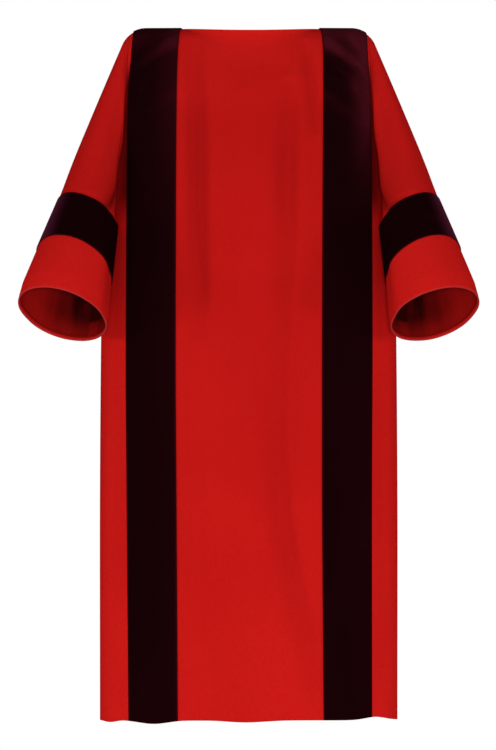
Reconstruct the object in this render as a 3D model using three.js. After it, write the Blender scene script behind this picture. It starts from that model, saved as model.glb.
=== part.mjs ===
// A dalmatic: a long straight vestment with wide short sleeves, two velvet clavi and a velvet
// band round each sleeve. It keeps the hollow form that it has when it is worn, with nobody in it.
// Millimetres, +Z up. The front faces -Y and the wearer's left is +X.
// The origin is the middle of the shoulder line, where the wearer's shoulders hold it up.
import * as THREE from "three";

// Driving sizes
const LENGTH = 1200; // shoulder line to hem
const CLOTH_WALL = 1.5; // the red cloth
const VELVET_WALL = 1.7; // the velvet with its backing
const TURNED_WALL = 3; // the red cloth turned under at an edge
const SEAM_GAP = 0.3; // between two pieces that are sewn together
const HEM_TURN = 20; // depth of the turned hem at the bottom
const CUFF_TURN = 12; // depth of the turned hem at a cuff
const TURN_STEP = 4; // over which the wall grows to a turned hem
const SQUARENESS = 2.6; // 2 makes the level sections ellipses, more makes them squarer
const SHOULDER_FLAT = 179.5; // half the level part of the shoulder line
const SHOULDER_CORNER = 44.5; // radius that turns the shoulder line down into the sleeve
const SHOULDER_TURN = 67.4; // degrees that it turns through before the sleeve runs straight
const NECK_BLEND = 200; // how far below the shoulder line the neck's bow fades out
const ARMHOLE_DEPTH = 255; // shoulder line to the underarm
const ARMHOLE_TOP = 209.5; // armhole seam from the middle, at the shoulder line
const ARMHOLE_SPREAD = 8; // how much wider the seam is where it starts to round under the arm
const ARMHOLE_FOOT = 0.75; // share of the armhole's depth where that rounding starts
const SLEEVE_CLEARANCE = 2.5; // between the hanging sleeve and the side of the body
const NECK = {
  front: { bow: 50, dip: 11 }, // how far the edge bows out from the shoulder line, and dips
  back: { bow: 42, dip: 13 },
};

// Level sections of the body, each with half its width and how far its front and back stand out.
const BODY_SECTIONS = [
  { level: 0, halfWidth: 228, front: 0, back: 0 },
  { level: -20, halfWidth: 228, front: 38, back: 36 },
  { level: -60, halfWidth: 228, front: 62, back: 62 },
  { level: -130, halfWidth: 231, front: 90, back: 88 },
  { level: -255, halfWidth: 238, front: 104, back: 98 },
  { level: -360, halfWidth: 239, front: 107, back: 101 },
  { level: -440, halfWidth: 248, front: 109, back: 104 },
  { level: -520, halfWidth: 255.5, front: 110, back: 106 },
  { level: -800, halfWidth: 256.5, front: 111, back: 108 },
  { level: -1200, halfWidth: 254.8, front: 112, back: 110 },
];

// Edges of the two clavi at each level, measured from the middle of the body.
const CLAVUS_EDGES = [
  { level: 0, rightOuter: -200, rightInner: -117, leftInner: 123, leftOuter: 204.5 },
  { level: -55, rightOuter: -204, rightInner: -122.5, leftInner: 128.5, leftOuter: 207 },
  { level: -130, rightOuter: -209, rightInner: -123.5, leftInner: 128, leftOuter: 210 },
  { level: -310, rightOuter: -209.5, rightInner: -124, leftInner: 126, leftOuter: 211.5 },
  { level: -570, rightOuter: -209.5, rightInner: -124, leftInner: 124.5, leftOuter: 211 },
  { level: -830, rightOuter: -207, rightInner: -122, leftInner: 124, leftOuter: 209 },
  { level: -1200, rightOuter: -202.5, rightInner: -119, leftInner: 126, leftOuter: 208 },
];
const NECK_MIDDLE = (CLAVUS_EDGES[0].leftInner + CLAVUS_EDGES[0].rightInner) / 2;
const NECK_HALF = (CLAVUS_EDGES[0].leftInner - CLAVUS_EDGES[0].rightInner) / 2;

// Where the hem hangs lower than its level, or higher, on front and back alike.
const HEM_WAVES = [
  { x: -236, drop: 3.5, reach: 14 },
  { x: -160, drop: 6, reach: 34 },
  { x: -5, drop: 3.4, reach: 42 },
  { x: 215, drop: -5.5, reach: 26 },
];
const HEM_WAVE_LEVEL = -950; // the waves start here and are whole at the hem

// Soft folds that hang in each face: where the trough starts and ends, how far its middle is
// bent sideways, how deep it is and how far it reaches to each side.
const FOLDS = {
  front: [
    { xTop: -98, top: -40, xBottom: -78, bottom: -560, bend: 0, depth: 7, reach: 17 },
    { xTop: 71, top: -110, xBottom: 138, bottom: -1190, bend: -68, depth: 7, reach: 19 },
    { xTop: 84, top: -25, xBottom: 112, bottom: -190, bend: 0, depth: 4, reach: 12 },
    { xTop: -14, top: -160, xBottom: -22, bottom: -620, bend: 6, depth: 2.5, reach: 16 },
    { xTop: -60, top: -640, xBottom: -88, bottom: -1200, bend: 12, depth: 3, reach: 20 },
  ],
  back: [
    { xTop: 92, top: -70, xBottom: 66, bottom: -700, bend: 14, depth: 6, reach: 18 },
    { xTop: -78, top: -60, xBottom: -104, bottom: -1190, bend: 40, depth: 6, reach: 19 },
    { xTop: 8, top: -300, xBottom: 34, bottom: -1190, bend: -16, depth: 5, reach: 22 },
  ],
};

// Rings of a sleeve, for the wearer's left. x, y and z are its middle, half and depth its two
// radii, slant how steeply it falls towards the body and tilt how far it opens to the front.
const SLEEVE_RINGS = [
  { x: 276.8, y: -72, z: -338.6, half: 56.5, depth: 56, slant: 26, tilt: 27 }, // top of the band
  { x: 296.5, y: -118, z: -431, half: 69.5, depth: 71, slant: 26.5, tilt: 32 }, // foot of the band
  { x: 309.5, y: -147, z: -494, half: 78, depth: 78.5, slant: 20, tilt: 27 }, // above the cuff
  { x: 314, y: -158, z: -519, half: 78.5, depth: 79.5, slant: 17, tilt: 25 }, // cuff
];
const SLEEVE_HEAD_FULLNESS = 2.5; // how far the outer line of the upper sleeve is rounded out
// The front of the upper sleeve rolls over the armhole seam towards the body: how far in and
// forward, round which turn of the sleeve in degrees, and how wide the roll is.
const SLEEVE_ROLL = { inward: 18, forward: 12, turn: 100, spread: 38 };
const UNDERARM_SWING = { x: 252, y: -6, z: -300 }; // pulls the sleeve's underside off the body

// How finely the cloth is divided
const ARMHOLE_ROWS = 12;
const BODY_ROWS = 10;
const MIDDLE_COLUMNS = 10;
const CLAVUS_COLUMNS = 3;
const SIDE_COLUMNS = 4;
const UPPER_SLEEVE_RINGS = 7;
const UPPER_RING_SPREAD = 1.5; // more than 1 sets the rings closer near the shoulder
const BAND_RINGS = 2;
const FLARE_RINGS = 1;

const RED = { color: 0xc01a17, roughness: 0.82, metalness: 0 };
const VELVET = { color: 0x1a0408, roughness: 0.95, metalness: 0 };

const radians = THREE.MathUtils.degToRad;
const mix = THREE.MathUtils.lerp;
const easeInOut = (t) => THREE.MathUtils.smoothstep(t, 0, 1);

// A column of a table at a level, on a smooth curve that doesn't overshoot its rows.
// It runs over the square root of the depth, so that the shoulders are round.
function along(table, column, level) {
  const place = (row) => Math.sqrt(-row.level);
  const at = Math.sqrt(Math.max(0, -level));
  const slope = (i) => {
    const low = table[i];
    const high = table[i + 1];
    return (high[column] - low[column]) / (place(high) - place(low));
  };
  let i = table.findIndex((row) => place(row) > at) - 1;
  if (i < 0) i = table.length - 2;
  const tangent = (k) => {
    if (k === 0) return slope(0);
    if (k === table.length - 1) return slope(k - 1);
    const before = slope(k - 1);
    const after = slope(k);
    return before * after <= 0 ? 0 : (2 * before * after) / (before + after);
  };
  const span = place(table[i + 1]) - place(table[i]);
  const t = (at - place(table[i])) / span;
  return (
    table[i][column] * (1 + 2 * t) * (1 - t) ** 2 +
    tangent(i) * span * t * (1 - t) ** 2 +
    table[i + 1][column] * t * t * (3 - 2 * t) +
    tangent(i + 1) * span * t * t * (t - 1)
  );
}

const halfWidth = (level) => along(BODY_SECTIONS, "halfWidth", level);
const depthOf = (level, face) => along(BODY_SECTIONS, face, level);

// The share that is left of one radius of a squared ellipse at a share of the other.
function otherRadius(share) {
  return Math.max(0, 1 - Math.abs(share) ** SQUARENESS) ** (1 / SQUARENESS);
}

// How far the shoulder line has turned down at x, near its ends.
function shoulderDrop(x) {
  const past = Math.min(Math.max(0, Math.abs(x) - SHOULDER_FLAT), 0.9 * SHOULDER_CORNER);
  return SHOULDER_CORNER - Math.sqrt(SHOULDER_CORNER ** 2 - past ** 2);
}

// The bow of the neck's edge: 1 in the middle, 0 at its two ends.
const neckBow = (x) => Math.max(0, 1 - ((x - NECK_MIDDLE) / NECK_HALF) ** 2) ** 0.75;
const onShoulderLine = (x) => Math.abs(x - NECK_MIDDLE) > NECK_HALF - 1;

// How much lower the cloth hangs near the hem.
function hemWave(x, level) {
  const share = easeInOut((level - HEM_WAVE_LEVEL) / (-LENGTH - HEM_WAVE_LEVEL));
  const wave = (sum, { x: middle, drop, reach }) =>
    sum + drop * Math.exp(-(((x - middle) / reach) ** 2));
  return share * HEM_WAVES.reduce(wave, 0);
}

// How deep the folds of a face are at a place.
function foldDepth(x, level, face) {
  let deep = 0;
  for (const fold of FOLDS[face]) {
    const t = (fold.top - level) / (fold.top - fold.bottom);
    if (t <= 0 || t >= 1) continue;
    const middle = mix(fold.xTop, fold.xBottom, t) + fold.bend * Math.sin(Math.PI * t ** 1.25);
    const fade = Math.sin(Math.PI * t) ** 0.5;
    deep += fold.depth * fade * Math.exp(-(((x - middle) / fold.reach) ** 2));
  }
  return deep;
}

// The outside of the body cloth, at x on a level of the front or the back.
function bodyPoint(x, level, face) {
  const level01 = Math.min(1, -level / ARMHOLE_DEPTH);
  const neckShare = neckBow(x) * Math.max(0, 1 + level / NECK_BLEND);
  const section = depthOf(level, face) * otherRadius(x / halfWidth(level));
  const bowed = (section ** 4 + (NECK[face].bow * neckShare) ** 4) ** 0.25;
  const out = Math.max(SEAM_GAP / 2, bowed - foldDepth(x, level, face));
  const neckDip = NECK[face].dip * neckBow(x) ** 1.33 * Math.max(0, 1 + level / NECK_BLEND);
  const drop = shoulderDrop(x) * (1 - level01) ** 2 + neckDip + hemWave(x, level);
  return new THREE.Vector3(x, face === "front" ? -out : out, level - drop);
}

// Where the armhole seam, and below it the side seam, lies on a level.
function seamX(level) {
  const half = halfWidth(level);
  const foot = -ARMHOLE_DEPTH * ARMHOLE_FOOT;
  if (level >= foot) return ARMHOLE_TOP + ARMHOLE_SPREAD * (level / foot) ** 1.6;
  if (level <= -ARMHOLE_DEPTH) return half;
  const inset = halfWidth(foot) - ARMHOLE_TOP - ARMHOLE_SPREAD;
  const turn = Math.acos((level - foot) / (-ARMHOLE_DEPTH - foot));
  return half - inset * Math.sin(turn) ** SQUARENESS;
}

// Levels of the rows of a panel, from the shoulder line to the hem.
function panelLevels() {
  const levels = [];
  for (let i = 0; i <= ARMHOLE_ROWS; i++)
    levels.push((-ARMHOLE_DEPTH * (1 - Math.cos((Math.PI * i) / ARMHOLE_ROWS))) / 2);
  const turn = -LENGTH + HEM_TURN + TURN_STEP;
  for (let i = 1; i <= BODY_ROWS; i++) levels.push(mix(-ARMHOLE_DEPTH, turn, i / BODY_ROWS));
  return [...levels, turn - TURN_STEP, -LENGTH];
}

// Steps from the outer edge of a clavus round to the seam, even round the section.
function sideSteps(from, to, half) {
  const angle = (x) => Math.asin(Math.min(1, (x / half) ** (SQUARENESS / 2)));
  const steps = [];
  for (let i = 0; i <= SIDE_COLUMNS; i++) {
    const a = mix(angle(from), angle(to), i / SIDE_COLUMNS);
    steps.push(half * Math.sin(a) ** (2 / SQUARENESS));
  }
  return steps;
}

// Places along a row, from the wearer's right seam to the left one.
function rowPlaces(level) {
  const edge = (name) => along(CLAVUS_EDGES, name, level);
  const half = halfWidth(level);
  const seam = seamX(level);
  const between = (a, b, steps) =>
    Array.from({ length: steps + 1 }, (_, i) => mix(a, b, i / steps));
  return [
    ...sideSteps(-edge("rightOuter"), seam, half).map((x) => -x).reverse(),
    ...between(edge("rightOuter"), edge("rightInner"), CLAVUS_COLUMNS).slice(1),
    ...between(edge("rightInner"), edge("leftInner"), MIDDLE_COLUMNS).slice(1),
    ...between(edge("leftInner"), edge("leftOuter"), CLAVUS_COLUMNS).slice(1),
    ...sideSteps(edge("leftOuter"), seam, half).slice(1),
  ];
}

// Normals of a grid of points, turned to the side that outward(point) names.
function gridNormals(grid, outward, ring) {
  const rows = grid.length;
  return grid.map((row, i) =>
    row.map((point, j) => {
      const columns = row.length;
      const next = ring ? (j + 1) % columns : Math.min(columns - 1, j + 1);
      const last = ring ? (j + columns - 1) % columns : Math.max(0, j - 1);
      const across = new THREE.Vector3().subVectors(row[next], row[last]);
      const above = grid[Math.max(0, i - 1)][j];
      const below = grid[Math.min(rows - 1, i + 1)][j];
      const down = new THREE.Vector3().subVectors(below, above);
      const normal = across.cross(down).normalize();
      return normal.dot(outward(point, i)) < 0 ? normal.negate() : normal;
    }),
  );
}

const moved = (point, direction, distance) => point.clone().addScaledVector(direction, distance);
const offset = (grid, normals, distance) =>
  grid.map((row, i) => row.map((point, j) => moved(point, normals[i][j], distance)));

// A closed wall between two grids of points. A ring's last column joins its first.
function wall(outside, inside, ring) {
  const rows = outside.length;
  const columns = outside[0].length;
  const positions = [...outside.flat(), ...inside.flat()].flatMap((p) => [p.x, p.y, p.z]);
  const at = (layer, i, j) => layer * rows * columns + i * columns + (j % columns);
  const triangles = [];
  const quad = (a, b, c, d) => triangles.push(a, b, c, a, c, d);
  const spans = ring ? columns : columns - 1;
  for (let i = 0; i < rows - 1; i++)
    for (let j = 0; j < spans; j++) {
      quad(at(0, i, j), at(0, i + 1, j), at(0, i + 1, j + 1), at(0, i, j + 1));
      quad(at(1, i, j), at(1, i, j + 1), at(1, i + 1, j + 1), at(1, i + 1, j));
    }
  for (let j = 0; j < spans; j++) {
    quad(at(0, 0, j), at(0, 0, j + 1), at(1, 0, j + 1), at(1, 0, j));
    const end = rows - 1;
    quad(at(0, end, j + 1), at(0, end, j), at(1, end, j), at(1, end, j + 1));
  }
  for (let i = 0; i < rows - 1 && !ring; i++) {
    quad(at(0, i + 1, 0), at(0, i, 0), at(1, i, 0), at(1, i + 1, 0));
    const end = columns - 1;
    quad(at(0, i, end), at(0, i + 1, end), at(1, i + 1, end), at(1, i, end));
  }
  const geometry = new THREE.BufferGeometry();
  geometry.setAttribute("position", new THREE.Float32BufferAttribute(positions, 3));
  geometry.setIndex(insideOut(positions, triangles) ? triangles.reverse() : triangles);
  geometry.computeVertexNormals();
  return geometry;
}

function insideOut(positions, triangles) {
  const corner = (k) => new THREE.Vector3().fromArray(positions, 3 * triangles[k]);
  let volume = 0;
  for (let k = 0; k < triangles.length; k += 3)
    volume += corner(k).dot(corner(k + 1).cross(corner(k + 2)));
  return volume < 0;
}

function piece(name, geometry, finish) {
  const mesh = new THREE.Mesh(geometry, new THREE.MeshStandardMaterial(finish));
  mesh.name = name;
  return mesh;
}

// Points, normals and wall of the front or the back panel.
function panelCloth(face) {
  const levels = panelLevels();
  const points = levels.map((level) => rowPlaces(level).map((x) => bodyPoint(x, level, face)));
  const outward = (p) => new THREE.Vector3(p.x, p.y * 2, 0.2);
  const normals = gridNormals(points, outward, false);
  // The two faces share their directions where they meet, along the shoulders and the sides.
  const flatten = (normal) => normal.setY(0).normalize();
  normals[0].forEach((normal, j) => {
    if (onShoulderLine(points[0][j].x)) flatten(normal);
  });
  normals.slice(ARMHOLE_ROWS).forEach((row) => [row[0], row[row.length - 1]].forEach(flatten));
  const inside = points.map((row, i) =>
    row.map((point, j) => {
      const neckTurn = i < 2 && !onShoulderLine(point.x);
      const hemTurn = i > ARMHOLE_ROWS + BODY_ROWS;
      return moved(point, normals[i][j], neckTurn || hemTurn ? -TURNED_WALL : -CLOTH_WALL);
    }),
  );
  return { points, normals, inside };
}

// A velvet piece made from the points that it lies on, moved out.
function velvetOn(cloth, firstRow, lastRow, firstColumn, lastColumn, ring) {
  const cut = (grid) =>
    grid.slice(firstRow, lastRow + 1).map((row) => row.slice(firstColumn, lastColumn + 1));
  const points = cut(cloth.points);
  const normals = cut(cloth.normals);
  const under = offset(points, normals, SEAM_GAP);
  const over = offset(points, normals, SEAM_GAP + VELVET_WALL);
  return wall(over, under, ring);
}

// The armhole seam as a closed ring, from the shoulder down the front and up the back.
function armhole(front, back, side) {
  const column = (cloth, grid, i) => {
    const row = cloth[grid][i];
    return row[side > 0 ? row.length - 1 : 0];
  };
  const points = [];
  const normals = [];
  for (let k = 0; k < 2 * ARMHOLE_ROWS; k++) {
    const i = k <= ARMHOLE_ROWS ? k : 2 * ARMHOLE_ROWS - k;
    const cloth = k <= ARMHOLE_ROWS ? front : back;
    const point = column(cloth, "points", i).clone();
    if (i === 0 || i === ARMHOLE_ROWS) point.y = 0;
    points.push(point);
    normals.push(column(cloth, "normals", i));
  }
  return { points, normals };
}

// The outer line of the upper sleeve: the shoulder's corner, then straight to the band.
function shoulderLine(t, top, side) {
  const ring = ringFrame(SLEEVE_RINGS[0], side);
  const end = moved(ring.middle, ring.half, 1);
  const start = new THREE.Vector2(ARMHOLE_TOP, top.z);
  const turnEnd = radians(SHOULDER_TURN);
  const corner = new THREE.Vector2(
    SHOULDER_FLAT + SHOULDER_CORNER * Math.sin(turnEnd),
    -SHOULDER_CORNER * (1 - Math.cos(turnEnd)),
  );
  const foot = new THREE.Vector2(Math.abs(end.x), end.z);
  const arc = start.distanceTo(corner);
  const travelled = t * (arc + corner.distanceTo(foot));
  const startAngle = Math.asin((ARMHOLE_TOP - SHOULDER_FLAT) / SHOULDER_CORNER);
  const turn = mix(startAngle, turnEnd, Math.min(1, travelled / arc));
  const place = new THREE.Vector2(
    SHOULDER_FLAT + SHOULDER_CORNER * Math.sin(turn),
    -SHOULDER_CORNER * (1 - Math.cos(turn)),
  );
  const share = (travelled - arc) / corner.distanceTo(foot);
  if (share > 0) place.lerpVectors(corner, foot, share);
  place.x += SLEEVE_HEAD_FULLNESS * Math.sin(Math.PI * Math.max(0, share));
  return new THREE.Vector3(side * place.x, end.y * t ** 1.25, place.y);
}

// The middle, the half width and the depth of a sleeve ring as vectors.
function ringFrame(ring, side) {
  const slant = radians(ring.slant);
  const tilt = radians(ring.tilt);
  return {
    middle: new THREE.Vector3(side * ring.x, ring.y, ring.z),
    half: new THREE.Vector3(side * Math.cos(slant), 0, Math.sin(slant)).multiplyScalar(ring.half),
    depth: new THREE.Vector3(
      -side * Math.sin(slant) * Math.sin(tilt),
      -Math.cos(tilt),
      Math.cos(slant) * Math.sin(tilt),
    ).multiplyScalar(ring.depth),
  };
}

function ringPoints(frame, angles) {
  return angles.map((a) =>
    moved(moved(frame.middle, frame.half, Math.cos(a)), frame.depth, Math.sin(a)),
  );
}

// Moves a point of the sleeve sideways until it is clear of the body, which reaches out to its
// own side, or to the armhole seam above the underarm.
function clearOfBody(point, side, clearance) {
  const deep = depthOf(point.z, point.y < 0 ? "front" : "back");
  if (Math.abs(point.y) >= deep) return point;
  const bodySide = halfWidth(point.z) * otherRadius(point.y / deep);
  const body = Math.min(bodySide, seamX(point.z)) + clearance;
  const apart = Math.abs(point.x) - body;
  const softly = (apart + Math.hypot(apart, clearance / 2)) / 2;
  return point.clone().setX(side * (body + softly));
}

// Points of a sleeve from the armhole seam to the cuff, ring by ring.
function sleevePoints(seam, side) {
  const count = seam.points.length;
  const angles = seam.points.map((_, k) => (2 * Math.PI * k) / count);
  const top = seam.points[0];
  const underarm = seam.points[count / 2];
  const bandTop = ringFrame(SLEEVE_RINGS[0], side);
  const swing = new THREE.Vector3(side * UNDERARM_SWING.x, UNDERARM_SWING.y, UNDERARM_SWING.z);
  const underline = new THREE.QuadraticBezierCurve3(
    underarm,
    swing,
    moved(bandTop.middle, bandTop.half, -1),
  );
  const level = new THREE.Vector3(0, -1, 0);
  const frameAt = (high, low, t) => {
    const middle = high.clone().add(low).multiplyScalar(0.5);
    const half = high.clone().sub(low).multiplyScalar(0.5);
    const depth = level.clone().lerp(bandTop.depth.clone().normalize(), easeInOut(t));
    depth.addScaledVector(half, -depth.dot(half) / half.lengthSq()).normalize();
    return { middle, half, depth, normal: half.clone().normalize().cross(depth) };
  };
  const start = frameAt(top, underarm, 0);
  const local = seam.points.map((point) => {
    const away = point.clone().sub(start.middle);
    return {
      half: away.dot(start.half) / start.half.lengthSq(),
      depth: away.dot(start.depth),
      normal: away.dot(start.normal),
    };
  });
  const rings = [seam.points];
  const roll = angles.map((a) =>
    Math.exp(-(((a - radians(SLEEVE_ROLL.turn)) / radians(SLEEVE_ROLL.spread)) ** 2)),
  );
  for (let i = 1; i < UPPER_SLEEVE_RINGS; i++) {
    const t = (i / UPPER_SLEEVE_RINGS) ** UPPER_RING_SPREAD;
    const frame = frameAt(shoulderLine(t, top, side), underline.getPoint(t), t);
    const round = easeInOut(t);
    const ring = local.map((place, k) => {
      const point = frame.middle.clone();
      point.addScaledVector(frame.half, mix(place.half, Math.cos(angles[k]), round));
      const deep = SLEEVE_RINGS[0].depth * Math.sin(angles[k]);
      point.addScaledVector(frame.depth, mix(place.depth, deep, round));
      point.addScaledVector(frame.normal, place.normal * (1 - round));
      const rolled = roll[k] * Math.sin(Math.PI * t) ** 0.8;
      point.x -= side * SLEEVE_ROLL.inward * rolled;
      point.y -= SLEEVE_ROLL.forward * rolled;
      return point;
    });
    rings.push(ring);
  }
  const blended = (a, b, t) =>
    Object.fromEntries(Object.keys(a).map((key) => [key, mix(a[key], b[key], t)]));
  const [bandHead, bandFoot, aboveCuff, cuff] = SLEEVE_RINGS;
  const add = (high, low, t) =>
    rings.push(ringPoints(ringFrame(blended(high, low, t), side), angles));
  for (let i = 0; i <= BAND_RINGS; i++) add(bandHead, bandFoot, i / BAND_RINGS);
  for (let i = 1; i <= FLARE_RINGS; i++) add(bandFoot, aboveCuff, i / FLARE_RINGS);
  const cuffLength = Math.hypot(cuff.x - aboveCuff.x, cuff.y - aboveCuff.y, cuff.z - aboveCuff.z);
  for (const back of [CUFF_TURN + TURN_STEP, CUFF_TURN, 0])
    add(aboveCuff, cuff, 1 - back / cuffLength);
  return rings.map((ring, i) => {
    if (i === 0) return ring;
    const clearance = SLEEVE_CLEARANCE * Math.min(1, i / 3);
    return ring.map((point) => clearOfBody(point, side, clearance));
  });
}

function sleeveCloth(front, back, side) {
  const seam = armhole(front, back, side);
  const points = sleevePoints(seam, side);
  const centre = (i) => {
    const sum = new THREE.Vector3();
    points[i].forEach((point) => sum.add(point));
    return sum.divideScalar(points[i].length);
  };
  const normals = gridNormals(points, (point, i) => point.clone().sub(centre(i)), true);
  // The first ring stands off the seam, and its wall never turns back into the panels.
  const count = seam.points.length;
  points[0] = seam.points.map((point, k) => {
    const tangent = seam.points[(k + 1) % count].clone().sub(seam.points[(k + count - 1) % count]);
    const away = seam.normals[k].clone().cross(tangent).normalize();
    const onward = points[1][k].clone().sub(point).normalize();
    if (away.dot(new THREE.Vector3(side, 0, 0)) < -0.2) away.negate();
    if (k === count / 2) away.set(0, 0, 1);
    if (normals[0][k].dot(away) > 0 && k !== count / 2) normals[0][k] = seam.normals[k].clone();
    return moved(point, away.add(onward).normalize(), SEAM_GAP);
  });
  const inside = points.map((ring, i) => {
    const turned = i >= points.length - 2;
    return ring.map((point, k) =>
      moved(point, normals[i][k], turned ? -TURNED_WALL : -CLOTH_WALL),
    );
  });
  return { points, normals, inside };
}

const dalmatic = new THREE.Group();
const front = panelCloth("front");
const back = panelCloth("back");
dalmatic.add(piece("front_panel", wall(front.points, front.inside, false), RED));
dalmatic.add(piece("back_panel", wall(back.points, back.inside, false), RED));

for (const [name, side] of [
  ["left", 1],
  ["right", -1],
]) {
  const sleeve = sleeveCloth(front, back, side);
  dalmatic.add(piece("sleeve_" + name, wall(sleeve.points, sleeve.inside, true), RED));

  const bandFirst = UPPER_SLEEVE_RINGS;
  const columns = sleeve.points[0].length - 1;
  const band = velvetOn(sleeve, bandFirst, bandFirst + BAND_RINGS, 0, columns, true);
  dalmatic.add(piece("sleeve_band_" + name, band, VELVET));

  const firstColumn = side < 0 ? SIDE_COLUMNS : SIDE_COLUMNS + CLAVUS_COLUMNS + MIDDLE_COLUMNS;
  const lastColumn = firstColumn + CLAVUS_COLUMNS;
  const lastRow = front.points.length - 1;
  for (const [face, cloth] of [
    ["front", front],
    ["back", back],
  ]) {
    const clavus = velvetOn(cloth, 0, lastRow, firstColumn, lastColumn, false);
    dalmatic.add(piece("clavus_" + face + "_" + name, clavus, VELVET));
  }
}

export default dalmatic;
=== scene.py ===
"""A dalmatic: red cloth panels and sleeves, dark velvet clavi and sleeve bands, and its stitching.

Every table is in millimetres, in the frame of the CAD model: +Z up, the front faces -Y, the
wearer's left is +X, and the origin is the middle of the shoulder line. Points become metres
where a mesh is made.
"""

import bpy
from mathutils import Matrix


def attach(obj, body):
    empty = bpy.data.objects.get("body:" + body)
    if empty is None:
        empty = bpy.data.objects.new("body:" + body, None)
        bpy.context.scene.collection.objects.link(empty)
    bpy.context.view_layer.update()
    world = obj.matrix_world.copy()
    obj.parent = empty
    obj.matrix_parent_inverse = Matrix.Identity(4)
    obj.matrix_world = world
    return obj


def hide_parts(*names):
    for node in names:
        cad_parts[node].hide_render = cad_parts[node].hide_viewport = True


bl_info = {
    "name": "Dalmatic",
    "version": (1, 0, 0),
    "blender": (4, 5, 0),
    "location": "View3D > Sidebar > Dalmatic",
    "description": "Builds a dalmatic with velvet clavi, its stitching and a small studio",
    "category": "Add Mesh",
}

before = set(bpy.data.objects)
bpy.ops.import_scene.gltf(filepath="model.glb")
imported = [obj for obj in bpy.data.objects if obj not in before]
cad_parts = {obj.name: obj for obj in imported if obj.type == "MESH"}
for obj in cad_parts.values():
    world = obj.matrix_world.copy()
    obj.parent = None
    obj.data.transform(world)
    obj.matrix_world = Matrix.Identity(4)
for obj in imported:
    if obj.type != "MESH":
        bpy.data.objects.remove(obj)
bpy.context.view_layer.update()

import math

import bpy
import numpy as np
from mathutils import Vector

MM = 0.001

# Driving sizes
LENGTH = 1200
SEAM_GAP = 0.3
HEM_TURN = 20
CUFF_TURN = 12
NECK_TURN = 14
TURN_EASE = 2  # over which a wall thickens to its turned hem
SQUARENESS = 2.6
SHOULDER_FLAT = 179.5
SHOULDER_CORNER = 44.5
SHOULDER_TURN = 67.4  # degrees of the shoulder's corner before the sleeve runs straight
NECK_BLEND = 200
ARMHOLE_DEPTH = 255
ARMHOLE_TOP = 209.5
ARMHOLE_SPREAD = 8
ARMHOLE_FOOT = 0.75
SLEEVE_CLEARANCE = 2.5
NECK_BOW = {"front": 50, "back": 42}
NECK_DIP = {"front": 11, "back": 13}
HEM_WAVE_LEVEL = -950
SLEEVE_HEAD_FULLNESS = 2.5
RING_SPREAD = 1.3  # more than 1 sets the sleeve's rings closer near the shoulder
NECK_STRIP = 0.5  # how far the turned strip of the neck stands out
HEM_SEAM = 5  # how far above the foot the hem is sewn
SEAM_INSET = 2  # how far inside their turned edges the neck and the cuffs are sewn
STITCH_PROUD = 0.1  # how far the thread's middle stands off the cloth
EDGE_NARROW = 0.45  # what is left of a wall's thickness at its soft edge
EDGE_STEP = 0.12  # share of a row by which the wall is set back from that edge

# How the front of the upper sleeve rolls over the armhole seam towards the body: how far in and
# forward, round which turn of the sleeve, and how wide the roll is, both in degrees.
SLEEVE_ROLL = {"inward": 18, "forward": 12, "turn": 100, "spread": 38}
UNDERARM_SWING = (252, -6, -300)

# How much light is kept from the cloth for each millimetre of depth of a long fold and of a
# sleeve's crease.
FOLD_SHADE = 0.012
CREASE_SHADE = 0.062
# The same beside the armhole seam, on the panel and on the sleeve, and where the front of a
# sleeve turns in towards the body. Turns and spreads are in degrees round the sleeve. A run is
# where it starts, over what length it grows, where it ends and over what length it fades.
PANEL_SHADE = {"share": 0.80, "reach": 20, "run": (50, 50, 355, 60)}
SLEEVE_SHADE = {"share": 0.45, "reach": 16, "turn": 100, "spread": 50}
TURNED_SHADE = {"share": 0.42, "turn": 110, "spread": 19, "run": (30, 100, 325, 60)}

# Level sections of the body: level, half its width, depth in front, depth behind.
BODY_SECTIONS = {
    "level": (0, -20, -60, -130, -255, -360, -440, -520, -800, -1200),
    "half_width": (228, 228, 228, 231, 238, 239, 248, 255.5, 256.5, 254.8),
    "front": (0, 38, 62, 90, 104, 107, 109, 110, 111, 112),
    "back": (0, 36, 62, 88, 98, 101, 104, 106, 108, 110),
}

# Edges of the two clavi at each level, from the middle of the body.
CLAVUS_EDGES = {
    "level": (0, -55, -130, -310, -570, -830, -1200),
    "right_outer": (-200, -204, -209, -209.5, -209.5, -207, -202.5),
    "right_inner": (-117, -122.5, -123.5, -124, -124, -122, -119),
    "left_inner": (123, 128.5, 128, 126, 124.5, 124, 126),
    "left_outer": (204.5, 207, 210, 211.5, 211, 209, 208),
}
NECK_MIDDLE = (CLAVUS_EDGES["left_inner"][0] + CLAVUS_EDGES["right_inner"][0]) / 2
NECK_HALF = (CLAVUS_EDGES["left_inner"][0] - CLAVUS_EDGES["right_inner"][0]) / 2

# Where the hem hangs lower than its level, or higher: x, drop, reach.
HEM_WAVES = ((-236, 3.5, 14), (-160, 6, 34), (-5, 3.4, 42), (215, -5.5, 26))

# The long folds of each face: the x, the level and the share of the full depth at the places
# that one runs through, then its full depth and its reach on its right and on its left.
LONG_FOLDS = {
    "front": (
        (((-92, -20, 1), (-86, -150, 1), (-84, -330, 1), (-79, -560, 0.6)), 14, 22, 13),
        (
            ((73, -95, 1), (69, -250, 1), (68, -400, 0.5), (56, -590, 0.3))
            + ((54, -765, 0.5), (72, -920, 0.8), (96, -1030, 0.7), (126, -1185, 0.5)),
            *(17, 26, 14),
        ),
        (((98, -20, 1), (107, -90, 1), (119, -200, 1)), 8, 14, 9),
    ),
    "back": (
        (((92, -70, 1), (84, -260, 1), (60, -480, 1), (64, -760, 1)), 13, 13, 26),
        (((-78, -60, 1), (-70, -300, 0.8), (-44, -560, 0.4), (-100, -1190, 1)), 15, 27, 14),
    ),
}

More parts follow.
